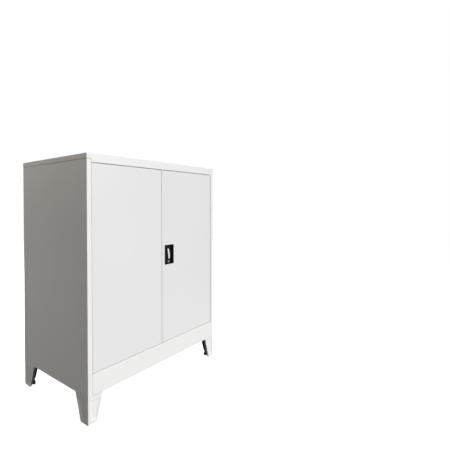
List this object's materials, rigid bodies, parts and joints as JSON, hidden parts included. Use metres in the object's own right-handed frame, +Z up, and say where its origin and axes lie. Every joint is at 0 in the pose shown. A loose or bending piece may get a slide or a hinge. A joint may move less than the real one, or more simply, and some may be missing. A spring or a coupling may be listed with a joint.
{
  "type": "tool cabinet with doors",
  "caption": "Low free-standing steel tool cabinet on pressed legs, with hinged doors, adjustable shelves and a turn-lever rod lock with key cylinder.",
  "frame": {"origin": "on the floor, under the middle of the cabinet", "axes": "+Z up, doors face -Y, +X to the right of someone facing the doors"},
  "size_m": [0.9, 0.45, 1.02],
  "materials": {
    "powder_coat": "light grey-white powder coat, semi-matt",
    "zinc_steel": "zinc-plated",
    "black_plastic": "moulded, fine grain",
    "nylon": "moulded",
    "rubber": "matt",
    "chrome_plate": "satin plated"
  },
  "bodies": {
    "cabinet": {"side_panel_left": "powder_coat", "side_panel_right": "powder_coat", "back_panel_left": "powder_coat", "back_panel_right": "powder_coat", "back_seam_strip": "powder_coat", "top_cover": "powder_coat", "header_rail": "powder_coat", "header_stop": "powder_coat", "front_skirt": "powder_coat", "floor_panel": "powder_coat", "shelf_lower": "powder_coat", "shelf_upper": "powder_coat", "shelf_post_front_left": "powder_coat", "shelf_post_rear_left": "powder_coat", "shelf_post_front_right": "powder_coat", "shelf_post_rear_right": "powder_coat", "base_frame": "powder_coat", "leg_front_left": "powder_coat", "leg_rear_left": "powder_coat", "leg_front_right": "powder_coat", "leg_rear_right": "powder_coat", "shelf_clips_lower": "zinc_steel", "shelf_clips_upper": "zinc_steel", "leg_bolts": "zinc_steel", "glides": "black_plastic", "glide_stems": "zinc_steel", "hinge_bushes": "nylon", "door_bumpers": "rubber"},
    "left_door": {"left_door_skin": "powder_coat", "left_door_hinge_stile": "powder_coat", "left_door_rib": "powder_coat", "left_door_closing_stile": "powder_coat", "left_door_pins": "zinc_steel"},
    "right_door": {"right_door_skin": "powder_coat", "right_door_hinge_stile": "powder_coat", "right_door_rib": "powder_coat", "right_door_closing_stile": "powder_coat", "right_door_pins": "zinc_steel", "lock_pan": "black_plastic", "lock_bracket": "zinc_steel", "bracket_screws": "zinc_steel", "rod_guides": "nylon"},
    "lever": {"lock_lever": "chrome_plate", "lock_spindle": "zinc_steel", "lock_gear": "zinc_steel"},
    "key": {"key_plug": "chrome_plate", "key_tongue": "zinc_steel"},
    "upper_rod": {"rod_upper": "zinc_steel"},
    "lower_rod": {"rod_lower": "zinc_steel"}
  },
  "joints": [
    {"name": "left_door_hinge", "type": "hinge", "parent": "cabinet", "child": "left_door", "pos_m": [-0.416, -0.219, 0.587], "axis": [0, 0, -1], "range_deg": [0, 125]},
    {"name": "right_door_hinge", "type": "hinge", "parent": "cabinet", "child": "right_door", "pos_m": [0.416, -0.219, 0.587], "axis": [0, 0, 1], "range_deg": [0, 125]},
    {"name": "lever_turn", "type": "hinge", "parent": "right_door", "child": "lever", "pos_m": [0.0555, -0.211, 0.5975], "axis": [0, -1, 0], "range_deg": [0, 90]},
    {"name": "key_turn", "type": "hinge", "parent": "right_door", "child": "key", "pos_m": [0.0555, -0.214, 0.5595], "axis": [0, -1, 0], "range_deg": [0, 90]},
    {"name": "upper_rod_slide", "type": "slide", "parent": "right_door", "child": "upper_rod", "axis": [0, 0, 1], "range_m": [0, 0.01256]},
    {"name": "lower_rod_slide", "type": "slide", "parent": "right_door", "child": "lower_rod", "axis": [0, 0, -1], "range_m": [0, 0.01256]}
  ],
  "couplings": [
    {"joint": "lever_turn", "follows": "upper_rod_slide", "rad_per_m": 125},
    {"joint": "lower_rod_slide", "follows": "upper_rod_slide", "ratio": 1}
  ]
}
